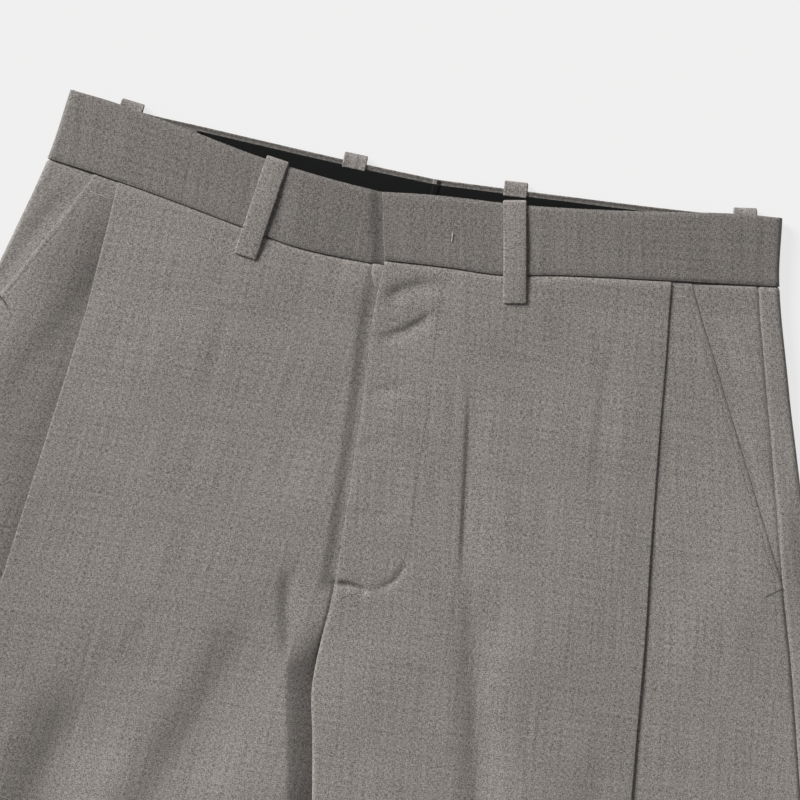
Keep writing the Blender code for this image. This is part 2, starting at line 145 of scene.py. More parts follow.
# name, where the loop crosses the band's edge, tilt in degrees, on the front
LOOPS = (
    ("belt_loop_front_left", 64.6, 10.0, True),
    ("belt_loop_front_right", -69.2, -8.7, True),
    ("belt_loop_side_left", 192.5, 8.0, False),
    ("belt_loop_side_right", -155.0, -7.0, False),
    ("belt_loop_back_left", 64.0, 3.0, False),
    ("belt_loop_back_right", -27.0, -2.0, False),
)

# Creases, listed one by one: half widths on the wearer's right of a falling crease (below a
# level one) and on its other side, depth, then the (X, down) points that it runs through.
CREASES = (
    (6.0, 3.6, 1.7, ((1, 86), (14, 76), (38, 66))),        # below the band, beside the fly
    (4.5, 1.9, 1.2, ((1, 106), (11, 102.5), (20, 97), (32, 86))),
    (4.0, 2.4, 0.6, ((0, 137), (14, 133), (27, 127))),
    (4.0, 2.4, 0.5, ((0, 167), (10, 164), (20, 159))),
    (4.5, 2.4, 0.5, ((2, 202), (16, 204), (28, 200))),
    (1.3, 9.0, 1.15, ((57, 118), (60, 140), (64, 172), (68, 204), (73, 238))),  # shield's edge
    (9.0, 12.0, 2.4, ((76, 222), (84, 256), (92, 296), (103, 350), (120, 440))),
    (2.8, 1.2, 2.0, ((1, 244.5), (11, 243.6), (24, 246))),  # pucker at the fly's end
    (2.0, 2.0, 0.85, ((23, 244), (31.8, 240.3), (37, 234), (40.4, 224.7))),
    (4.0, 8.0, 1.5, ((-24, 236), (-22, 258), (-18, 278), (-14, 294))),
    (15.0, 30.0, 3.3, ((-28, 256), (-42, 292), (-58, 334), (-76, 384), (-94, 450))),
    (20.0, 34.0, 5.5, ((-112, 312), (-126, 350), (-138, 396), (-150, 470))),
    (5.0, 5.0, 0.4, ((-81, 100), (-86, 150))),
    (9.0, 12.0, 1.0, ((-150, 84), (-171, 131), (-187, 160), (-193, 196))),
    (5.0, 7.0, 1.0, ((-178, 50), (-194, 76), (-209, 99), (-222, 124))),  # beside the pocket
    (8.0, 10.0, 0.9, ((170, 300), (163, 380), (160, 470))),
    (5.0, 7.0, 0.5, ((128, 70), (134, 130), (140, 190))),
    (12.0, 12.0, 1.8, ((120, 430), (150, 540), (160, 660))),
    (12.0, 12.0, 1.8, ((-96, 450), (-130, 540), (-150, 660))),
    (14.0, 14.0, 1.8, ((250, 420), (270, 560), (262, 700))),
    (14.0, 14.0, 1.8, ((-235, 400), (-262, 520), (-270, 680))),
    (12.0, 12.0, 1.5, ((120, 760), (170, 860), (180, 980))),
    (12.0, 12.0, 1.5, ((-150, 740), (-170, 860), (-230, 980))),
)

# The stitched lines on the top face, as (X, down) points.
FLY_STITCH = (
    (34, 62), (33, 84), (34, 99), (35, 116), (37, 138), (37, 168), (38, 195), (39, 209),
    (38, 226), (36, 233.5), (33, 238), (27, 242), (21, 245), (15, 248), (5, 253),
)
PLEAT_TACKS = (
    ((159.8, 55.6), (169.0, 53.4)),
    ((-156.5, 55.6), (-169.5, 53.4)),
)
POCKET_TACKS = (
    ((248.2, 204.6), (240.0, 210.4)),
    ((-208.6, 119.5), (-203.0, 124.5)),
)
BAND_TACK = ((33.5, 41.8), (33.8, 46.8))

FLOOR_SIZE = 60000.0      # side of the floor, out of sight in low views


def smooth(t):
    t = np.clip(t, 0.0, 1.0)
    return t * t * (3 - 2 * t)


def fall(t):
    """1 at or before 0, fading to 0 at 1."""
    return (1 - np.clip(t, 0.0, 1.0)) ** 2


def mix(a, b, t):
    return a + (b - a) * t


def through(points):
    """A smooth function through (place, value) points, held level beyond its ends."""
    places, values = np.array(points, float).T
    last = len(places) - 1
    before = np.maximum(np.arange(last + 1) - 1, 0)
    after = np.minimum(np.arange(last + 1) + 1, last)
    slopes = (values[after] - values[before]) / (places[after] - places[before])

    def at(place):
        place = np.clip(place, places[0], places[last])
        i = np.clip(np.searchsorted(places, place, side="right") - 1, 0, last - 1)
        span = places[i + 1] - places[i]
        t = (place - places[i]) / span
        rise = values[i + 1] - values[i]
        bend_a = slopes[i] * span - rise
        bend_b = rise - slopes[i + 1] * span
        straight = mix(values[i], values[i + 1], t)
        return straight + t * (1 - t) * (bend_a * (1 - t) + bend_b * t)

    return at


def table(rows, names):
    """A dictionary of smooth functions of down, one for each column of a table."""
    return {n: through([(r[0], r[i + 1]) for r in rows]) for i, n in enumerate(names)}


def curve(points, count):
    """Evenly numbered places along a smooth line through the points."""
    points = np.array(points, float)
    along = np.arange(len(points))
    at = np.linspace(0, len(points) - 1, count)
    return np.stack([through(list(zip(along, points[:, k])))(at) for k in range(points.shape[1])], 1)


def run(start, end, count, near_start=(), near_end=()):
    """Columns from start to end: close together near the ends, even between them."""
    start, end = np.broadcast_arrays(start, end)
    first = [start + step for step in near_start] or [start]
    final = [end - step for step in near_end][::-1] or [end]
    between = [mix(first[-1], final[0], (i + 1) / (count + 1)) for i in range(count)]
    return np.concatenate(first + between + final, axis=1)


HEIGHT = table(HEIGHTS, ("fold", "outer", "crown", "angle", "depth"))
EDGE_STEPS = (0.0, 0.12, 0.5, 1.2, 2.6)      # columns near an edge, from the edge inward


def crease_lines():
    lines = []
    for first, second, depth, points in CREASES:
        path = curve(points, 5 * len(points))
        length = np.concatenate([[0], np.cumsum(np.hypot(*np.diff(path, axis=0).T))])
        lines.append((first, second, depth, path, length))
    return lines


CREASE_LINES = crease_lines()


def swells():
    """Long, shallow waves that keep the laid cloth from looking pressed flat."""
    chance = np.random.default_rng(24)
    waves = []
    for _ in range(14):
        length = chance.uniform(34, 120)
        heading = chance.uniform(0, math.pi)
        waves.append((
            2 * math.pi / length * math.cos(heading),
            2 * math.pi / length * math.sin(heading),
            chance.uniform(0, 2 * math.pi),
            0.0013 * length,
        ))
    return waves


SWELLS = swells()


def relief(x, down):
    """What the creases and swells add to the height of the top face."""
    x, down = np.broadcast_arrays(x, down)
    total = np.zeros(x.shape)
    for first, second, depth, path, length in CREASE_LINES:
        best = np.full(x.shape, 1e9)
        width = np.full(x.shape, first)
        place = np.zeros(x.shape)
        for i in range(len(path) - 1):
            a, b = path[i], path[i + 1]
            step = b - a
            t = np.clip(((x - a[0]) * step[0] + (down - a[1]) * step[1]) / (step @ step), 0, 1)
            distance = np.hypot(x - a[0] - t * step[0], down - a[1] - t * step[1])
            nearer = distance < best
            best = np.where(nearer, distance, best)
            place = np.where(nearer, mix(length[i], length[i + 1], t), place)
            turned = step[0] * (down - a[1]) - step[1] * (x - a[0])
            width = np.where(nearer, np.where(turned > 0, first, second), width)
        fade = np.minimum(place, length[-1] - place) / (0.28 * length[-1])
        total -= depth * np.exp(-(best / width) ** 2) * (0.12 + 0.88 * smooth(fade))
    for along_x, along_down, phase, height in SWELLS:
        total += height * np.sin(along_x * x + along_down * down + phase)
    return total


def lift(down):
    """How far the belt loops underneath hold the back off the surface."""
    return LOOPS_LIFT * (1 - smooth((down - 72) / 40))


PLEAT_BEND = CLOTH + 0.03      # radius of the pleat's outer bend
PLEAT_TUCK = 0.08             # radius of its inner bend
PLEAT_STEPS = 6


def pleat_profile(down):
    """(across, drop) through the pleat, from its top layer to the cloth outside it."""
    angle = np.radians(HEIGHT["angle"](down))
    length = HEIGHT["depth"](down)
    bend = angle * np.linspace(0, 1, PLEAT_STEPS)
    across = PLEAT_BEND * np.sin(bend)
    drop = PLEAT_BEND * (1 - np.cos(bend))
    end_across = across[:, -1:] + length * np.cos(angle)
    end_drop = drop[:, -1:] + length * np.sin(angle)
    back = angle * np.linspace(1, 0, PLEAT_STEPS)
    across = np.hstack([across, end_across + PLEAT_TUCK * (np.sin(angle) - np.sin(back))])
    drop = np.hstack([drop, end_drop + PLEAT_TUCK * (np.cos(back) - np.cos(angle))])
    return across, drop


def pleat_step(down):
    """How far the pleat's top layer lies above the cloth outside it."""
    shape = np.shape(down)
    return pleat_profile(np.reshape(down, (-1, 1)))[1][:, -1].reshape(shape)


class Half:
    """One side of the garment: its edges and its sections across the tube."""

    def __init__(self, side, sections, edges):
        self.side = side
        self.at = table(sections, ("fold", "crease", "front_in", "back_in", "seam_turn"))
        self.edge = {name: through(points) for name, points in edges.items()}
        self.front_seam = self.edge["front_seam"]
        mouth_top = 168.0 - self.at["fold"](40.0) - 1.6
        self.mouth = through(((43.0, mouth_top), (POCKET_END, self.at["seam_turn"](POCKET_END))))

    def back_seam(self, out):
        level = self.edge["back_top"](out) + BAND
        return mix(level, self.front_seam(out), smooth((out - 140) / 50))

    def level(self, out, nominal, underneath=False):
        """Real level of a nominal row, which follows the band's seam near the waist."""
        seam = np.where(underneath, self.back_seam(out), self.front_seam(out))
        near = 1 - smooth((nominal - 40.0) / 90.0)
        return nominal + (seam - SEAM_LAP - 40.0) * near

    def forked(self, down):
        return smooth((down - CROTCH_SEAM_START) / (CROTCH - CROTCH_SEAM_START))

    def inner_top(self, down):
        """Top of a leg's inner fold. At the fork the left leg's stands over the right one's."""
        at_fork = 9.2 if self.side > 0 else 2.2
        return mix(at_fork, HEIGHT["fold"](down) + 0.4, smooth((down - 375) / 125))

    def inner_mid(self, down):
        """Level of the inseam: half way up the leg, but high on the left leg at the fork."""
        half_way = self.inner_top(down) / 2
        if self.side < 0:
            return half_way
        return mix(self.inner_top(down) - 1.6, half_way, smooth((down - 375) / 125))

    def front_edge(self, down):
        edge = self.at["front_in"](down) + GAP / 2
        if self.side > 0:
            return edge
        return edge - (UNDERLAP + GAP / 2) * (1 - smooth((down - 243) / 5))

    def band_face(self, out, share=0.5):
        """Outer face of the front band. Share runs from its top edge, 0, to its lower, 1."""
        inside = self.at["fold"](20) - BAND_FOLD / 2 - out
        height = BAND_FOLD + (BAND_CROWN - BAND_FOLD) * (1 - fall(inside / BAND_RISE))
        if self.side < 0:
            covered = mix(9.0, 1.5, share)
            height = height - (BAND_CLOTH + 0.2) * (1 - smooth((out - covered) / 8))
            height = height - 2.5 * (1 - smooth((out - 5) / 55))
        return LOOPS_LIFT + height

    def to_band(self, height, out, down, below):
        """The height drawn up, near the band's seam, to just under the band's face."""
        near = 1 - smooth((down - self.front_seam(out)) / 20)
        target = self.band_face(np.maximum(out, 24.0 if self.side < 0 else -10.0)) - 0.45 - below
        return mix(height, target, near)

    def outer_level(self, down):
        """Height outside the pleat. The left thigh slopes outward and the right hip is full."""
        level = HEIGHT["outer"](down)
        if self.side > 0:
            return level - LEFT_DIP * smooth((down - 220) / 120) * (1 - smooth((down - 450) / 200))
        return level + RIGHT_SWELL * smooth((down - 70) / 70) * (1 - smooth((down - 320) / 130))

    def outer_face(self, out, down):
        """Top face between the crease and the side fold."""
        radius = HEIGHT["fold"](down) / 2
        inside = self.at["fold"](down) - radius - out
        rise = self.outer_level(down) - HEIGHT["fold"](down)
        reach = LEFT_SLOPE if self.side > 0 else RIGHT_SLOPE
        height = lift(down) + HEIGHT["fold"](down) + rise * (1 - fall(inside / reach))
        crease = self.at["crease"](down)
        below = pleat_step(down) * (1 - smooth((out - crease) / 30))
        height = self.to_band(height, out, down, below)
        x = self.side * np.maximum(out, crease)
        height = height + relief(x, down) * smooth(inside / 9) * self.free(out, down)
        if self.side < 0:
            span = smooth((down - 44) / 50) * (1 - smooth((down - 300) / 120))
            share = smooth((down - 90) / 90)
            height = height - mix(4.0, 6.3, share) * span * fall((out - crease) / mix(36, 60, share))
        return height - self.tuck(down - self.front_seam(out))

    def tuck(self, past):
        """How far the cloth is turned in, at a distance below the band's lower edge."""
        return SEAM_TUCK * (1 - smooth(past / 1.1))

    def back_face(self, out, down):
        """Outer face of the back, underneath."""
        return lift(down) + self.tuck(down - self.back_seam(out))

    def free(self, out, down):
        """0 at the band's seam, where the cloth is held, 1 clear of it."""
        return smooth((down - self.front_seam(out) - 1) / 16)

    def inner_face(self, out, down):
        """Top face between the inner edge and the crease."""
        crease = self.at["crease"](down)
        crown = HEIGHT["crown"](down)
        at_crease = self.outer_level(down) + pleat_step(down)
        at_inner = mix(crown, self.inner_top(down), self.forked(down))
        inside = out - self.at["front_in"](down)
        height = crown - (crown - at_crease) * fall((crease - out) / (100 if self.side > 0 else 60))
        if self.side > 0:
            height = height - (crown - at_inner) * fall((inside - 1) / 30.0)
        else:
            height = height - (crown - at_inner) * np.clip(1 - inside / 16.0, 0, 1) ** 1.15
        height = self.to_band(lift(down) + height, out, down, 0.0)
        height = height + relief(self.side * out, down) * self.free(out, down)
        height = self.clear(height) - self.seam_dip(inside, down)
        if self.side < 0:
            fly = 1 - smooth((down - 244) / 10)
            height = height - (CLOTH + 1.2) * fly * (1 - smooth((inside - 1.5) / 8))
        return height - self.tuck(down - self.front_seam(out))

    def clear(self, height):
        """The height, kept smoothly above the layers underneath."""
        above = height - 1.0
        return 1.0 + (above + np.sqrt(above ** 2 + 0.7 ** 2)) / 2

    def seam_dip(self, inside, down):
        """The cloth rolls down at the fly's edge and into the crotch seam."""
        fly = 1 - smooth((down - 244) / 8)
        seam = smooth((down - 238) / 10) * (1 - self.forked(down))
        roll = 0.15 * fly if self.side > 0 else 0.0
        return roll * np.exp(-(inside / 0.6) ** 2) + 0.8 * seam * np.exp(-(inside / 1.1) ** 2)

    def face(self, x, down):
        """Top face at X, whichever side of the crease it is on."""
        out = np.asarray(self.side * x, float)
        inner = self.inner_face(out, down)
        outer = self.outer_face(out, down)
        return np.where(out < self.at["crease"](down), inner, outer)

    def around(self, turn, down):
        """(out, height) on the outer face, around the side fold by turn."""
        radius = HEIGHT["fold"](down) / 2
        quarter = math.pi / 2 * radius
        angle = np.clip(turn / radius, -math.pi / 2, math.pi / 2)
        past = np.maximum(0, turn - quarter) + np.maximum(0, -quarter - turn)
        out = self.at["fold"](down) - radius * (1 - np.cos(angle)) - past
        seam = np.where(turn > 0, self.back_seam(out), self.front_seam(out))
        sunk = self.tuck(down - seam) * mix(1.0, 0.65, np.cos(angle))
        height = lift(down) + radius - (radius - sunk) * np.sin(angle)
        top = self.outer_face(out, down)
        return out - sunk * np.cos(angle), np.where(turn <= -quarter, top, height)

    def turn_of(self, out, down):
        radius = HEIGHT["fold"](down) / 2
        return out - self.at["fold"](down) + radius - math.pi / 2 * radius

    def inner_arc(self, down, underneath):
        """(out, height) outward from the inner edge, around a leg's inner fold."""
        steps = np.array((0, 0.12, 0.6, 1.5, 2.6, 3.7, 4.8, 6.0, 7.3, 8.6))
        angle = math.pi / 2 * self.forked(down)
        middle = self.inner_mid(down)
        if underneath:
            radius = middle - GAP / 2
            edge = self.at["back_in"](down) + GAP / 2
        else:
            radius = self.inner_top(down) - middle - GAP / 2
            edge = self.front_edge(down)
        bend = np.clip(angle - steps / radius, 0.0, angle)
        flat = np.maximum(0.0, steps - angle * radius)
        out = edge + radius * (np.sin(angle) - np.sin(bend)) + flat
        drop = radius * (1 - np.cos(bend))
        if underneath:
            return out, self.back_face(out, down) + drop
        return out, self.inner_face(out, down) - drop


LEFT = Half(1, LEFT_SECTIONS, LEFT_EDGES)
RIGHT = Half(-1, RIGHT_SECTIONS, RIGHT_EDGES)


def grid(half, out, down, height):
    """(X, Y, Z) in millimetres for places on one half."""
    out, down, height = np.broadcast_arrays(out, down, height)
    return np.stack([half.side * out, WAIST_Y - down, height], axis=-1)


def laid_out(points, down, origin):
    """Each point's place on the flat cloth: distance from the origin column, and down."""
    steps = np.linalg.norm(np.diff(points, axis=1), axis=2)
    across = np.concatenate([np.zeros((len(points), 1)), np.cumsum(steps, axis=1)], axis=1)
    across -= across[:, origin:origin + 1]
    return np.stack([across, np.broadcast_to(down, across.shape), 0 * across], axis=-1)


def unit(vectors):
    return vectors / np.maximum(np.linalg.norm(vectors, axis=-1, keepdims=True), 1e-9)


def border(rows, cols):
    """Row and column numbers round the edge of a grid, and those just inside them."""
    top = [(0, c) for c in range(cols - 1)]
    right = [(r, cols - 1) for r in range(rows - 1)]
    bottom = [(rows - 1, c) for c in range(cols - 1, 0, -1)]
    left = [(r, 0) for r in range(rows - 1, 0, -1)]
    edge = np.array(top + right + bottom + left)
    inside = np.clip(edge, 1, (rows - 2, cols - 2))
    return edge, inside


def shell(name, points, cloth, thickness, material, side, roundness=0.35):
    """A closed wall of cloth, sunk from a grid of points on its outer face."""
    rows, cols = points.shape[:2]
    normal = -side * np.cross(np.gradient(points, axis=1), np.gradient(points, axis=0))
    sunk = points - unit(normal) * thickness
    edge, inside = border(rows, cols)
    rim_outer, rim_inner = points[tuple(edge.T)], sunk[tuple(edge.T)]
    outward = unit(rim_outer - points[tuple(inside.T)])
    rim = (rim_outer + rim_inner) / 2 + outward * thickness * roundness

    number = np.arange(rows * cols).reshape(rows, cols)
    face = np.stack([number[:-1, :-1], number[:-1, 1:], number[1:, 1:], number[1:, :-1]], -1)
    face = face.reshape(-1, 4)
    under = face[:, ::-1] + rows * cols
    a = number[tuple(edge.T)]
    b = np.roll(a, -1)
    m = 2 * rows * cols + np.arange(len(edge))
    n = np.roll(m, -1)
    rim_upper = np.stack([b, a, m, n], 1)
    rim_lower = np.stack([n, m, a + rows * cols, b + rows * cols], 1)
    quads = np.concatenate([face, under, rim_upper, rim_lower])
    if side > 0:
        quads = quads[:, ::-1]

    places = np.concatenate([points.reshape(-1, 3), sunk.reshape(-1, 3), rim]) * MM
    mesh = bpy.data.meshes.new(name)
    mesh.from_pydata(places.tolist(), [], quads.tolist())
    mesh.shade_smooth()
    flat = np.concatenate([cloth.reshape(-1, 3), cloth.reshape(-1, 3), cloth[tuple(edge.T)]])
    mesh.attributes.new("cloth", "FLOAT_VECTOR", "POINT").data.foreach_set("vector", flat.ravel())
    piece = bpy.data.objects.new(name + "_cloth", mesh)
    bpy.context.scene.collection.objects.link(piece)
    mesh.materials.append(material)
    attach(piece, "root")
    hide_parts(name)
    declare(points)
    return piece


def declare(points):
    """Works out the width, length and area of the piece's outer face; nothing is done with them."""
    across = np.diff(points, axis=1)
    along = np.diff(points, axis=0)
    width = np.linalg.norm(across, axis=2).sum(axis=1).max() * MM
    length = np.linalg.norm(along, axis=2).sum(axis=0).max() * MM
    area = np.linalg.norm(np.cross(across[:-1], along[:, :-1]), axis=2).sum() * MM ** 2
    area = float(np.clip(area, 0.3 * width * length, width * length))


# ---------------------------------------------------------------- materials


def add(tree, kind, inputs=None, **settings):
    """A node with its settings, and its inputs by name or number: values or links."""
    node = tree.nodes.new(kind)
    for name, value in settings.items():
        setattr(node, name, value)
    for key, value in (inputs or {}).items():
        socket = node.inputs[key]
        if isinstance(value, bpy.types.NodeSocket):
            tree.links.new(value, socket)
        else:
            socket.default_value = value
    return node


def maths(tree, operation, a, b=0.0, c=0.0):
    return add(tree, "ShaderNodeMath", {0: a, 1: b, 2: c}, operation=operation).outputs[0]


def scaled(tree, vector, across, down):
    """The vector with its first two parts multiplied."""
    inputs = {"Vector": vector, "Scale": (across, down, 1.0)}
    return add(tree, "ShaderNodeMapping", inputs).outputs[0]


def noise(tree, vector, scale, detail=2.0, roughness=0.5):
    inputs = {"Vector": vector, "Scale": scale, "Detail": detail, "Roughness": roughness}
    return add(tree, "ShaderNodeTexNoise", inputs).outputs["Fac"]


def spread(tree, value, low, high):
    """The value stretched so that low becomes 0 and high becomes 1."""
    inputs = {"Value": value, "From Min": low, "From Max": high, "To Min": 0.0, "To Max": 1.0}
    return add(tree, "ShaderNodeMapRange", inputs).outputs[0]


def blend(tree, factor, a, b):
    inputs = {"Factor": factor, 6: a, 7: b}
    return add(tree, "ShaderNodeMix", inputs, data_type="RGBA").outputs[2]


THREAD = 0.46             # pitch of the suiting's threads
SLUB = 1.9                # usual length of a lighter or darker stretch of thread
STREAK = 55.0             # length of the faint streaks of whole thread groups
WOOL_DARK = (0.070, 0.064, 0.059, 1.0)
WOOL_LIGHT = (0.315, 0.293, 0.277, 1.0)


def wool_material(name, tone=1.0):
    """Plain-woven suiting of mixed light and dark threads, uneven along their length."""
    material = bpy.data.materials.new(name)
    material.use_nodes = True
    tree = material.node_tree
    shader = tree.nodes["Principled BSDF"]
    shader.inputs["Roughness"].default_value = 0.88
    shader.inputs["Specular IOR Level"].default_value = 0.22
    shader.inputs["Sheen Weight"].default_value = 0.12
    shader.inputs["Sheen Roughness"].default_value = 0.6

    flat = add(tree, "ShaderNodeAttribute", attribute_name="cloth").outputs["Vector"]
    drift = add(tree, "ShaderNodeTexNoise", {"Vector": flat, "Scale": 0.06, "Detail": 1.0})
    pulled = add(tree, "ShaderNodeVectorMath", {0: drift.outputs["Color"], 1: (1.6, 1.6, 0.0)},
                 operation="MULTIPLY").outputs[0]
    place = add(tree, "ShaderNodeVectorMath", {0: flat, 1: pulled}, operation="ADD").outputs[0]

    warp_tone = noise(tree, scaled(tree, place, 1 / 0.46, 1 / SLUB), 1.0, 1.0, 0.6)
    weft_tone = noise(tree, scaled(tree, place, 1 / SLUB, 1 / 0.46), 1.0, 1.0, 0.6)
    fleck = noise(tree, place, 1 / 0.44, 0.0)
    warp_streak = noise(tree, scaled(tree, place, 1 / 1.7, 1 / STREAK), 1.0, 1.0)
    weft_streak = noise(tree, scaled(tree, place, 1 / STREAK, 1 / 1.9), 1.0, 1.0)

    parts = add(tree, "ShaderNodeSeparateXYZ", {0: place})
    turn = 2 * math.pi / (2 * THREAD)
    wave_across = maths(tree, "SINE", maths(tree, "MULTIPLY", parts.outputs[0], turn))
    wave_down = maths(tree, "SINE", maths(tree, "MULTIPLY", parts.outputs[1], turn))
    weave = maths(tree, "MULTIPLY", wave_across, wave_down)
    over = spread(tree, weave, -0.25, 0.25)

    both = maths(tree, "ADD", warp_tone, weft_tone)
    tone_value = maths(tree, "MULTIPLY_ADD", fleck, 0.9, both)
    tone_value = maths(tree, "MULTIPLY_ADD", warp_streak, 0.28, tone_value)
    tone_value = maths(tree, "MULTIPLY_ADD", weft_streak, 0.2, tone_value)
    shade = spread(tree, tone_value, 1.39, 1.99)
    crossing = maths(tree, "MULTIPLY_ADD", over, 0.10, maths(tree, "SUBTRACT", shade, 0.05))
    # A tone below 1 dims both colours: painted shade, used for the band's copy of the suiting.
    dark = tuple(c * tone for c in WOOL_DARK[:3]) + (1.0,)
    light = tuple(c * tone for c in WOOL_LIGHT[:3]) + (1.0,)
    colour = blend(tree, crossing, dark, light)
    tree.links.new(colour, shader.inputs["Base Color"])

    ribs = maths(tree, "ABSOLUTE", weave)
    height = maths(tree, "MULTIPLY_ADD", shade, 0.7, ribs)
    bump = add(tree, "ShaderNodeBump", {"Height": height, "Strength": 0.35, "Distance": 0.12 * MM})
    tree.links.new(bump.outputs[0], shader.inputs["Normal"])
    return material


def facing_material():
    """Near-black fine twill."""
    material = bpy.data.materials.new("facing_twill")
    material.use_nodes = True
    tree = material.node_tree
    shader = tree.nodes["Principled BSDF"]
    shader.inputs["Roughness"].default_value = 0.8
    shader.inputs["Specular IOR Level"].default_value = 0.1
    flat = add(tree, "ShaderNodeAttribute", attribute_name="cloth").outputs["Vector"]
    parts = add(tree, "ShaderNodeSeparateXYZ", {0: flat})
    slant = maths(tree, "ADD", parts.outputs[0], parts.outputs[1])
    rib = maths(tree, "SINE", maths(tree, "MULTIPLY", slant, 2 * math.pi / 0.7))
    fibre = noise(tree, flat, 1 / 0.7, 2.0)
    value = maths(tree, "MULTIPLY_ADD", rib, 0.2, fibre)
    dark, light = (0.0030, 0.0034, 0.0033, 1), (0.0085, 0.0095, 0.0092, 1)
    colour = blend(tree, spread(tree, value, 0.2, 0.8), dark, light)
    tree.links.new(colour, shader.inputs["Base Color"])
    bump = add(tree, "ShaderNodeBump", {"Height": value, "Strength": 0.4, "Distance": 0.1 * MM})
    tree.links.new(bump.outputs[0], shader.inputs["Normal"])
    return material


def thread_material(name, light, dark):
    """Twisted sewing thread."""
    material = bpy.data.materials.new(name)
    material.use_nodes = True
    tree = material.node_tree
    shader = tree.nodes["Principled BSDF"]
    shader.inputs["Roughness"].default_value = 0.6
    shader.inputs["Sheen Weight"].default_value = 0.1
    flat = add(tree, "ShaderNodeAttribute", attribute_name="cloth").outputs["Vector"]
    fibre = noise(tree, scaled(tree, flat, 1 / 0.5, 1 / 0.15), 1.0, 2.0)
    colour = blend(tree, spread(tree, fibre, 0.3, 0.7), dark, light)
    tree.links.new(colour, shader.inputs["Base Color"])
    bump = add(tree, "ShaderNodeBump", {"Height": fibre, "Strength": 0.3, "Distance": 0.05 * MM})
    tree.links.new(bump.outputs[0], shader.inputs["Normal"])
    return material


WOOL = wool_material("wool_suiting")
# The band's copy of the suiting is dimmed to 0.765 of the panels' brightness: painted shade, for how
# the light falls on the band's turned grain.
BAND_WOOL_PAINTED_SHADE = wool_material("wool_suiting_band_painted_shade", 0.765)
FACING = facing_material()
# Dark thread: partly the thread's own colour, partly painted shade of the pits that the stitches sink
# into.
THREAD_DARK_AND_PIT_SHADE = thread_material("thread_dark_and_painted_pit_shade", (0.085, 0.078, 0.072, 1), (0.04, 0.037, 0.034, 1))
THREAD_LIGHT = thread_material("thread_light", (0.5, 0.48, 0.46, 1), (0.3, 0.285, 0.27, 1))


# ---------------------------------------------------------------- panels


def panel_rows():
    """Nominal rows of the panels: fine where the creases are, coarse down the legs."""
    top = 40.0 + np.array(EDGE_STEPS)
    upper = np.concatenate([
        np.arange(45.2, 236.0, 2.25), np.arange(237.0, 258.0, 1.0), np.arange(259.5, 391.0, 2.5),
    ])
    legs = np.linspace(392.0, 1046.0, 74)
    hem = OUTSEAM - np.array(EDGE_STEPS)[::-1]
    return np.concatenate([top, upper, legs, hem[1:]])[:, None]


ROWS = panel_rows()
SIDE_FOLD_STEPS = 9
TOPSTITCH = 3.3           # from the pocket mouth to its stitching
MOUTH_STEPS = (0.0, 0.12, 0.5, 1.3, 2.5, TOPSTITCH, 4.0, 5.0)
MOUTH_REACH = 5.8


def front_panel(name, half):
    """Front from the fly to the side seam, cut away along the pocket mouth."""
    near = half.level(half.at["front_in"](ROWS), ROWS)
    arc_out, arc_height = half.inner_arc(near, False)
    parts = [(arc_out, np.broadcast_to(near, arc_out.shape), arc_height)]

    crease_level = half.level(half.at["crease"](ROWS), ROWS)
    crease = half.at["crease"](crease_level)
    fine_end = mix(arc_out[:, -1:], crease, 0.58)
    fine = run(arc_out[:, -1:], fine_end, 92, (1.0, 2.0))
    coarse = run(fine_end, crease - PLEAT_BEND, 36, (), (0.0, 0.8, 2.0))
    top_out = np.concatenate([fine, coarse[:, 1:]], axis=1)
    top_down = half.level(top_out, ROWS)
    parts.append((top_out, top_down, half.inner_face(top_out, top_down)))

    across, drop = pleat_profile(crease_level)
    pleat_out = crease - PLEAT_BEND + across[:, 1:]
    base = half.inner_face(crease - PLEAT_BEND, crease_level)
    parts.append((pleat_out, half.level(pleat_out, ROWS), base - drop[:, 1:]))

    start = half.turn_of(pleat_out[:, -1:], ROWS) + 0.4
    hidden = half.turn_of(crease, ROWS) + 1.0
    seam = half.at["seam_turn"](ROWS)
    quarter = math.pi / 2 * HEIGHT["fold"](ROWS) / 2
    if half.side > 0:
        body = run(hidden, seam - MOUTH_REACH, 28)
    else:
        fold = run(-quarter, quarter, SIDE_FOLD_STEPS)
        body = np.concatenate([run(hidden, -quarter - 2, 30), fold], axis=1)
    edge = np.where(ROWS < POCKET_END, half.mouth(ROWS), seam)
    body = hidden + (body - hidden) * (edge - MOUTH_REACH - hidden) / (body[:, -1:] - hidden)
    mouth = edge - GAP / 2 - np.array(MOUTH_STEPS)[::-1]
    turns = np.concatenate([run(start, hidden, 2)[:, :-1], body, mouth], axis=1)
    outs, _ = half.around(turns, ROWS)
    downs = half.level(outs, ROWS)
    outs, heights = half.around(turns, downs)
    rolled = mix(0.4, 1.0, smooth((ROWS - POCKET_END) / 4)) * np.exp(-((edge - turns) / 1.0) ** 2)
    rolled = rolled * np.where(turns > 0, -0.5, 1.0)
    pocket = smooth((ROWS - 44) / 4) * (1 - smooth((ROWS - POCKET_END + 4) / 4))
    groove = 0.14 * pocket * np.exp(-((edge - turns - TOPSTITCH) / 0.55) ** 2)
    parts.append((outs, downs, heights - rolled - groove))

    out, down, height = (np.concatenate(p, axis=1) for p in zip(*parts))
    points = grid(half, out, down, height)
    origin = arc_out.shape[1] + top_out.shape[1] - 1
    return shell(name, points, laid_out(points, down, origin), CLOTH, WOOL, half.side)


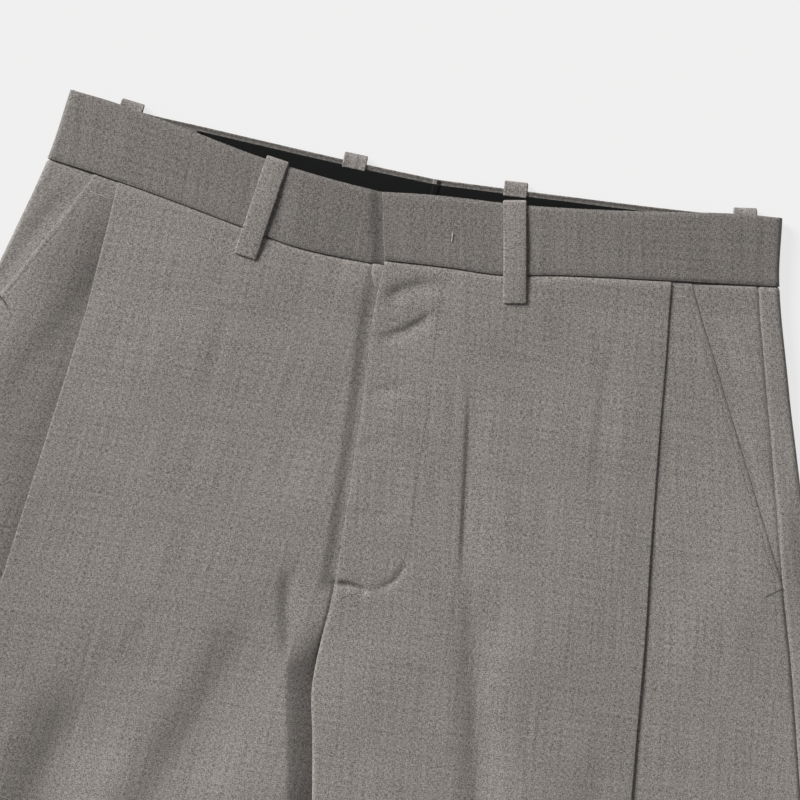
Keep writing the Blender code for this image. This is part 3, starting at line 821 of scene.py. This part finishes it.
def back_panel(name, half):
    """Back from the side seam, under the garment, to the back seam or the inseam."""
    quarter = math.pi / 2 * HEIGHT["fold"](ROWS) / 2
    seam = half.at["seam_turn"](ROWS) + GAP / 2
    if half.side > 0:
        flat = run(seam, -quarter - 1, 5, EDGE_STEPS)
        turns = np.concatenate([flat, run(-quarter, quarter, SIDE_FOLD_STEPS)], axis=1)
    else:
        turns = run(seam, seam + 8, 1, EDGE_STEPS)
    out, _ = half.around(turns, ROWS)
    down = half.level(out, ROWS, underneath=turns > 0)
    out, height = half.around(turns, down)
    rolled = 0.6 * np.exp(-((turns - seam) / 0.8) ** 2) * np.where(turns < 0, 1, -0.5)
    parts = [(out, down, height - rolled)]

    near = half.level(half.at["back_in"](ROWS), ROWS, True)
    arc_out, arc_height = (a[:, ::-1] for a in half.inner_arc(near, True))
    flat_out = run(out[:, -1:], arc_out[:, :1], 34)[:, 1:-1]
    flat_down = half.level(flat_out, ROWS, True)
    parts.append((flat_out, flat_down, half.back_face(flat_out, flat_down)))
    parts.append((arc_out, np.broadcast_to(near, arc_out.shape), arc_height))

    out, down, height = (np.concatenate(p, axis=1) for p in zip(*parts))
    points = grid(half, out, down, height)
    return shell(name, points, laid_out(points, down, 0), CLOTH, WOOL, half.side)


def pocket_facing(name, half):
    """The cloth seen in the pocket mouth, from under the mouth to the side seam."""
    rows = ROWS[ROWS[:, 0] < POCKET_END + 3]
    start = half.mouth(np.minimum(rows, POCKET_END - 6)) - 4
    seam = half.at["seam_turn"](rows) - GAP / 2
    turns = run(start, seam, 34, (), EDGE_STEPS)
    out, _ = half.around(turns, rows)
    down = half.level(out, rows)
    out, height = half.around(turns, down)
    points = grid(half, out, down, height)
    normal = unit(-half.side * np.cross(np.gradient(points, axis=1), np.gradient(points, axis=0)))
    share = smooth((turns - half.mouth(rows) - 1) / np.maximum(seam - half.mouth(rows), 9))
    sunk = mix(CLOTH + 0.3, 0.1, share) + 0.5 * np.exp(-((turns - seam) / 0.9) ** 2)
    points = points - normal * sunk[..., None]
    return shell(name, points, laid_out(points, down, 0), TRIM_CLOTH, WOOL, half.side)


def fly_shield(name):
    """The strip behind the fly."""
    rows = np.linspace(66, 246, 60)[:, None]
    fly = LEFT.at["front_in"](rows)
    width = SHIELD_WIDTH * (1 - 0.2 * smooth((rows - 200) / 50))
    out = run(fly - 6, fly + width, 20)
    points = grid(LEFT, out, rows, LEFT.inner_face(out, rows) - CLOTH - BAND_CLOTH)
    return shell(name, points, laid_out(points, rows, 0), TRIM_CLOTH, WOOL, 1)


# ---------------------------------------------------------------- waistband


def waistband(name, half):
    """Half of the waistband: centre front, round the side fold, centre back."""
    shares = run(np.zeros((1, 1)), np.full((1, 1), BAND), 13, EDGE_STEPS, EDGE_STEPS).T / BAND
    fold = half.at["fold"](shares * BAND)
    radius = BAND_FOLD / 2
    front_end = mix(-8.7, -1.2, shares) if half.side > 0 else np.full(shares.shape, -BAND_UNDERLAP)
    parts = []

    outs = run(front_end, fold - radius, 120, EDGE_STEPS)
    top = half.edge["front_top"](outs)
    height = half.band_face(outs, shares) + 0.12 * relief(half.side * outs, top + 200)
    seam = half.front_seam(outs) - 0.1
    parts.append((outs, mix(top, seam, shares), height - band_roll(shares)))

    angle = np.linspace(0, math.pi, 12)[None, 1:]
    outs = fold - radius + radius * np.sin(angle)
    height = LOOPS_LIFT + radius * (1 + np.cos(angle)) - band_roll(shares) * np.cos(angle)
    level = mix(half.edge["back_top"](fold), half.back_seam(fold) - 0.1, shares)
    parts.append((outs, np.broadcast_to(level, outs.shape), height))

    back_end = half.at["back_in"](shares * BAND) + GAP / 2
    outs = run(fold - radius, back_end, 40, (), EDGE_STEPS)[:, 1:]
    seam = half.back_seam(outs) - 0.1
    height = LOOPS_LIFT + band_roll(shares) + 0 * outs
    parts.append((outs, mix(half.edge["back_top"](outs), seam, shares), height))

    out, down, height = (np.concatenate(p, axis=1) for p in zip(*parts))
    points = grid(half, out, down, height)
    cloth = laid_out(points, shares * BAND + 500.0, 0)
    return shell(name, points, cloth, BAND_CLOTH, BAND_WOOL_PAINTED_SHADE, half.side, roundness=0.08)


def band_roll(shares):
    """The band's long edges roll away from its face."""
    edge = np.minimum(shares, 1 - shares) * BAND
    return 0.6 * np.exp(-(edge / 0.9) ** 2)


def band_facing(name, half):
    """The dark facing inside the back of the waistband."""
    shares = run(np.zeros((1, 1)), np.full((1, 1), 1.0), 8, (0.0, 0.02), (0.0, 0.02)).T
    start = half.at["back_in"](shares * BAND) + GAP / 2
    outs = run(np.full(start.shape, half.side * 20 + FACING_REACH), start, 60, EDGE_STEPS, EDGE_STEPS)
    top = half.edge["back_top"](outs) + FACING_DROP
    down = mix(top, half.back_seam(outs) - 2, shares)
    height = LOOPS_LIFT + BAND_CLOTH + GAP + TRIM_CLOTH + 0 * outs
    height = height - 0.4 * np.exp(-((outs - start) / 1.5) ** 2)
    points = grid(half, outs, down, height)
    cloth = laid_out(points, down, 0)
    return shell(name, points, cloth, TRIM_CLOTH, FACING, -half.side)


def loop_path(half, out, on_front):
    """(along, height) down a loop's middle, from inside the band over its top edge."""
    radius = (BAND_CLOTH + 2 * GAP + 2 * LOOP_CLOTH) / 2
    turn = np.linspace(0, math.pi, 9)
    if on_front:
        middle = half.band_face(out) + GAP + LOOP_CLOTH - radius
        over = [(radius - radius * math.sin(a), middle - radius * math.cos(a)) for a in turn]
        face = middle + radius
        panel = half.inner_face(out, 76.0) + GAP + LOOP_CLOTH + 0.3
        below = [(14, face + 0.5), (28, face + 0.8), (38, face + 0.5)]
        below += [(LOOP_LENGTH - 9, panel + 0.3), (LOOP_LENGTH - 4, panel), (LOOP_LENGTH, panel - 0.3)]
        return [(radius + 0.1 + LOOP_TAB, middle - radius)] + over + below
    above = LOOP_STAND + radius
    over = [(radius - above * math.sin(a), radius + radius * math.cos(a)) for a in turn[::-1]]
    under = [(LOOP_LENGTH, 0.2), (LOOP_LENGTH * 0.75, 0.0), (LOOP_LENGTH / 2, 0.0), (12, 0.0)]
    return under + over + [(radius + 0.1 + LOOP_TAB, 2 * radius)]


def belt_loop(name, across, tilt, on_front):
    """A sewn strip over the band's top edge: a short tab inside and a long run outside."""
    half = LEFT if across > 0 else RIGHT
    out = abs(across)
    path = np.array(loop_path(half, out, on_front))
    reach = np.concatenate([[0], np.cumsum(np.hypot(*np.diff(path, axis=0).T))])
    at = np.concatenate([[0, 0.4], np.linspace(1.2, reach[-1] - 1.2, 62), [reach[-1] - 0.4, reach[-1]]])
    along = through(list(zip(reach, path[:, 0])))(at)[:, None]
    height = through(list(zip(reach, path[:, 1])))(at)[:, None]
    width = LOOP_WIDTH / 2
    offsets = np.array((-width, -width + 0.12, -width + 0.8, -3.5, -1.8, 0, 1.8, 3.5, width - 0.8,
                        width - 0.12, width))[None, :]
    radius = (BAND_CLOTH + 2 * GAP + 2 * LOOP_CLOTH) / 2
    edge = half.edge["front_top" if on_front else "back_top"](out)
    lean = math.radians(tilt)
    step = along - radius - 0.1
    x = across + step * math.sin(lean) + offsets * math.cos(lean)
    down = edge + step * math.cos(lean) - offsets * math.sin(lean)
    slope = np.gradient(half.band_face(np.array((out - 6.0, out, out + 6.0))))[1] / 6.0
    tipped = slope * offsets * half.side if on_front else 0.0 * offsets
    z = height + tipped - 0.25 * (np.abs(offsets) / width) ** 6 * (1 if on_front else -1)
    points = np.stack(np.broadcast_arrays(x, WAIST_Y - down, z), axis=-1)
    cloth = np.stack(np.broadcast_arrays(offsets + across * 3, at[:, None] + 900.0, 0.0), axis=-1)
    return shell(name, points, cloth, LOOP_CLOTH, WOOL, 1, roundness=0.45)


# ---------------------------------------------------------------- stitches


def capsule(start, end, radius, sides=6):
    """Points and faces of one short thread, rounded at its ends."""
    along = unit(end - start)
    first = unit(np.cross(along, (0.0, 0.1, 1.0)))
    second = np.cross(along, first)
    profile = ((0.0, 0.25), (0.3, 0.8), (1.0, 1.0), (1.0, 1.0), (0.3, 0.8), (0.0, 0.25))
    places = []
    for i, (inset, size) in enumerate(profile):
        centre = start + along * radius * inset if i < 3 else end - along * radius * inset
        for k in range(sides):
            angle = 2 * math.pi * k / sides
            ring = first * math.cos(angle) + second * math.sin(angle)
            places.append(centre + ring * radius * size)
    faces = []
    for i in range(len(profile) - 1):
        for k in range(sides):
            a, b = i * sides + k, i * sides + (k + 1) % sides
            faces.append((a, b, b + sides, a + sides))
    faces.append(tuple(range(sides))[::-1])
    faces.append(tuple(range((len(profile) - 1) * sides, len(profile) * sides)))
    return places, faces


def threads(name, stitches, radius, material):
    """One piece holding many short threads, each given by its two ends."""
    places, faces = [], []
    for start, end in stitches:
        more, rings = capsule(np.array(start, float), np.array(end, float), radius)
        faces += [tuple(i + len(places) for i in face) for face in rings]
        places += more
    places = np.array(places)
    mesh = bpy.data.meshes.new(name)
    mesh.from_pydata((places * MM).tolist(), [], faces)
    mesh.shade_smooth()
    mesh.attributes.new("cloth", "FLOAT_VECTOR", "POINT").data.foreach_set("vector", places.ravel())
    piece = bpy.data.objects.new(name, mesh)
    bpy.context.scene.collection.objects.link(piece)
    mesh.materials.append(material)
    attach(piece, "root")
    return piece


def stitch_line(half, path, length, pitch, sink):
    """The two ends of each stitch along a line of (X, down) points on the top face."""
    path = curve(path, 30 * len(path))
    reach = np.concatenate([[0], np.cumsum(np.hypot(*np.diff(path, axis=0).T))])
    found = []
    for i in range(int(reach[-1] / pitch)):
        ends = np.array((i * pitch, i * pitch + length))
        x = np.interp(ends, reach, path[:, 0])
        down = np.interp(ends, reach, path[:, 1])
        z = half.face(x, down) - sink
        found.append([(x[k], WAIST_Y - down[k], z[k]) for k in (0, 1)])
    return found


TACK_PITCH = 0.45         # between a tack's cross stitches


def bartack(half, start, end, rise=0.1, wide=1.4):
    """Close cross stitches between two (X, down) places."""
    start, end = np.array(start, float), np.array(end, float)
    length = np.hypot(*(end - start))
    along = (end - start) / length
    across = np.array((-along[1], along[0]))
    count = int(length / TACK_PITCH)
    found = []
    for i in range(count + 1):
        middle = mix(start, end, i / count)
        ends = (middle - across * wide / 2, middle + across * wide / 2)
        found.append([(p[0], WAIST_Y - p[1], float(half.face(p[0], p[1])) + rise) for p in ends])
    return found


def pocket_stitch(name, half):
    """Topstitching just inside the pocket mouth."""
    rows = np.linspace(48, POCKET_END - 4, 40)
    outs, _ = half.around(half.mouth(rows) - TOPSTITCH, rows)
    path = [(half.side * o, float(half.level(o, r))) for o, r in zip(outs, rows)]
    return threads(name, stitch_line(half, path, 1.7, 2.6, 0.16), 0.2, THREAD_DARK_AND_PIT_SHADE)


def main_pieces():
    front_panel("front_left", LEFT)
    front_panel("front_right", RIGHT)
    back_panel("back_left", LEFT)
    back_panel("back_right", RIGHT)
    pocket_facing("pocket_facing_left", LEFT)
    pocket_facing("pocket_facing_right", RIGHT)
    fly_shield("fly_shield")
    waistband("waistband_left", LEFT)
    waistband("waistband_right", RIGHT)
    band_facing("band_facing_left", LEFT)
    band_facing("band_facing_right", RIGHT)
    for loop in LOOPS:
        belt_loop(*loop)


def stitching():
    threads("fly_stitch", stitch_line(LEFT, FLY_STITCH, 0.8, 2.6, 0.02), 0.28, THREAD_DARK_AND_PIT_SHADE)
    pocket_stitch("pocket_stitch_left", LEFT)
    pocket_stitch("pocket_stitch_right", RIGHT)
    for label, half, pleat, pocket in zip(("left", "right"), (LEFT, RIGHT), PLEAT_TACKS, POCKET_TACKS):
        tacks = stitch_line(half, pleat, 2.4, 2.6, 0.0)
        threads("pleat_tack_" + label, tacks, 0.16, THREAD_LIGHT)
        tacks = bartack(half, *pocket, rise=0.0, wide=1.0)
        threads("pocket_tack_" + label, tacks, 0.15, THREAD_DARK_AND_PIT_SHADE)
    z = float(LEFT.band_face(33.6)) + 0.2
    (x0, top), (x1, bottom) = BAND_TACK
    ends = [((mix(x0, x1, t), WAIST_Y - mix(top, bottom, t), z)) for t in (0.0, 0.5, 0.5, 1.0)]
    threads("band_tack", [ends[:2], ends[2:]], 0.28, THREAD_LIGHT)


# ---------------------------------------------------------------- stage, light, camera

FLOOR_GLOW = 0.75         # how much of the floor's brightness doesn't depend on shadow
FLOOR_COLOUR = (0.105, 0.105, 0.105, 1.0)
SKY = 0.26
KEY = 6.05
KEY_ELEVATION = 27.0
HORIZON = 0.85            # the sky is pale at the horizon, up to this share of straight up
HORIZON_TOP = 0.22
KEY_HEADING = 150.0
KEY_SPREAD = 24.0         # the sun's size in degrees, which softens its shadows
PHOTO_X = 20.7            # middle of the view
PHOTO_DOWN = 137.9
PHOTO_WIDTH = 444.4
PHOTO_ROLL = 9.96         # degrees that the garment is turned in the view
LENS = 100.0
SENSOR = 36.0
CLOTH_TOP = 8.5


def stage():
    mesh = bpy.data.meshes.new("floor")
    size = FLOOR_SIZE / 2 * MM
    corners = [(-size, -size, 0), (size, -size, 0), (size, size, 0), (-size, size, 0)]
    mesh.from_pydata(corners, [], [(0, 1, 2, 3)])
    floor = bpy.data.objects.new("floor", mesh)
    floor.location.z = -0.05 * MM
    bpy.context.scene.collection.objects.link(floor)
    material = bpy.data.materials.new("floor_pale")
    material.use_nodes = True
    shader = material.node_tree.nodes["Principled BSDF"]
    shader.inputs["Base Color"].default_value = FLOOR_COLOUR
    shader.inputs["Roughness"].default_value = 0.9
    shader.inputs["Specular IOR Level"].default_value = 0.0
    shader.inputs["Emission Color"].default_value = (1.0, 1.0, 1.0, 1.0)
    shader.inputs["Emission Strength"].default_value = FLOOR_GLOW
    mesh.materials.append(material)


def lights():
    world = bpy.data.worlds.new("studio")
    world.use_nodes = True
    background = world.node_tree.nodes["Background"]
    background.inputs["Strength"].default_value = 1.0
    direction = add(world.node_tree, "ShaderNodeTexCoord").outputs["Generated"]
    upward = add(world.node_tree, "ShaderNodeSeparateXYZ", {0: direction}).outputs[2]
    horizon = spread(world.node_tree, upward, 0.0, HORIZON_TOP)
    colour = blend(world.node_tree, horizon, (HORIZON,) * 3 + (1.0,), (SKY,) * 3 + (1.0,))
    world.node_tree.links.new(colour, background.inputs["Color"])
    bpy.context.scene.world = world

    key = bpy.data.lights.new("key", "SUN")
    key.energy = KEY
    key.angle = math.radians(KEY_SPREAD)
    key.color = (1.0, 0.99, 0.975)
    lamp = bpy.data.objects.new("key", key)
    bpy.context.scene.collection.objects.link(lamp)
    heading = math.radians(KEY_HEADING)
    level = math.cos(math.radians(KEY_ELEVATION))
    towards = Vector((level * math.cos(heading), level * math.sin(heading),
                      math.sin(math.radians(KEY_ELEVATION))))
    lamp.rotation_euler = towards.to_track_quat("Z", "Y").to_euler()


def camera():
    data = bpy.data.cameras.new("camera")
    data.lens = LENS
    data.sensor_width = SENSOR
    data.clip_end = 50.0
    eye = bpy.data.objects.new("camera", data)
    bpy.context.scene.collection.objects.link(eye)
    distance = PHOTO_WIDTH * LENS / SENSOR + CLOTH_TOP
    eye.location = (PHOTO_X * MM, (WAIST_Y - PHOTO_DOWN) * MM, distance * MM)
    eye.rotation_euler = (0.0, 0.0, math.radians(PHOTO_ROLL))
    bpy.context.scene.camera = eye


bpy.context.scene.view_settings.view_transform = "Standard"
main_pieces()
stitching()
stage()
lights()
camera()
